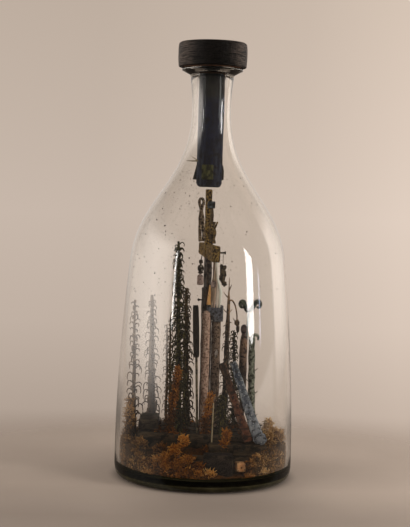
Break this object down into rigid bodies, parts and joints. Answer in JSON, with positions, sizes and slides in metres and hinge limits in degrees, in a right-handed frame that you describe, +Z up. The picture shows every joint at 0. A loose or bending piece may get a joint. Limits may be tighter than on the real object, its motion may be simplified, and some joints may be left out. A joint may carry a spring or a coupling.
{
  "type": "calvary in a bottle",
  "caption": "Clear glass bottle with a carved wooden cross, instruments, ladder, trees and dried moss built inside, closed by a turned stopper locked from within.",
  "frame": {"origin": "middle of the bottle's foot, on the surface that it stands on", "axes": "+Z up along the bottle's axis, -Y towards the picture's viewer, +X to the viewer's right"},
  "size_m": [0.1314, 0.1314, 0.32],
  "materials": {
    "bottle_glass": "clear blown glass with a faint green tint, smooth, with seeds and dust",
    "black_wood": "turned wood stained black, worn satin, fine lathe rings",
    "washer_leather": "thin dark leather, dull",
    "blue_paint": "whittled wood under thin dark blue paint, satin",
    "olive_paint": "wood under olive yellow paint, mottled",
    "dark_wood": "old blackened softwood, dull",
    "brown_wood": "plain brown wood, dull",
    "bark_wood": "olive brown painted wood, stippled, dull",
    "slate_paint": "wood under slate grey paint, dull",
    "pale_linen": "pale painted carved wood with lengthwise bands",
    "raw_wood": "bare split wood, pale tan",
    "pink_marbling": "wood under pinkish brown marbled paint",
    "red_brown_paint": "wood under red brown paint, worn",
    "blue_grey_paint": "wood under blue grey paint, worn",
    "nail_iron": "dark iron wire, dull",
    "grey_tree": "shaved stick with curls, grey brown",
    "green_tree": "shaved stick with curls, dark green paint",
    "dried_moss": "dried orange brown moss, fluffy",
    "die_wood": "small cube of orange tan wood"
  },
  "bodies": {
    "bottle": {"bottle_glass": "bottle_glass", "bearer_slat_1": "dark_wood", "bearer_slat_2": "dark_wood", "bearer_slat_3": "dark_wood", "bearer_slat_4": "dark_wood", "bearer_slat_5": "dark_wood", "column": "pink_marbling", "cross_beam": "bark_wood", "cross_post": "bark_wood", "deck_slat_1": "dark_wood", "deck_slat_2": "dark_wood", "deck_slat_3": "dark_wood", "die": "die_wood", "foot_nail": "nail_iron", "foot_rest": "slate_paint", "front_block": "dark_wood", "hammer_handle": "brown_wood", "hammer_head": "slate_paint", "hand_nail_far": "nail_iron", "hand_nail_near": "nail_iron", "hooded_post": "brown_wood", "jug": "red_brown_paint", "ladder_rail_left": "red_brown_paint", "ladder_rail_right": "blue_grey_paint", "ladder_rung_1": "dark_wood", "ladder_rung_2": "dark_wood", "ladder_rung_3": "dark_wood", "ladder_rung_4": "dark_wood", "lantern": "dark_wood", "linen_slip": "pale_linen", "moss_bed": "dried_moss", "moss_tuft_left": "dried_moss", "moss_tuft_middle": "dried_moss", "moss_tuft_wall": "dried_moss", "pillar": "brown_wood", "pincers": "nail_iron", "plank": "brown_wood", "purse": "pink_marbling", "reed_head": "dark_wood", "reed_stalk": "raw_wood", "rooster": "slate_paint", "sill": "dark_wood", "tree_brown_green": "green_tree", "tree_front_bush": "green_tree", "tree_green_post": "green_tree", "tree_left_back": "grey_tree", "tree_left_far": "grey_tree", "tree_left_thin": "grey_tree", "tree_left_wall": "grey_tree", "tree_right_palm": "green_tree", "tree_right_spike": "green_tree", "tree_right_twig": "green_tree", "tree_tall_green": "green_tree", "wedge": "raw_wood"},
    "washer": {"stopper_washer": "washer_leather"},
    "stopper": {"stopper_cap": "black_wood", "stopper_stem": "blue_paint", "lock_key": "dark_wood", "lock_pin": "olive_paint"}
  },
  "joints": [
    {"name": "stopper_turn", "type": "hinge", "parent": "bottle", "child": "washer", "pos_m": [0, 0, 0.3015], "axis": [0, 0, 1], "continuous": true},
    {"name": "stopper_lift", "type": "slide", "parent": "washer", "child": "stopper", "axis": [0, 0, 1], "range_m": [0, 0.03]}
  ]
}
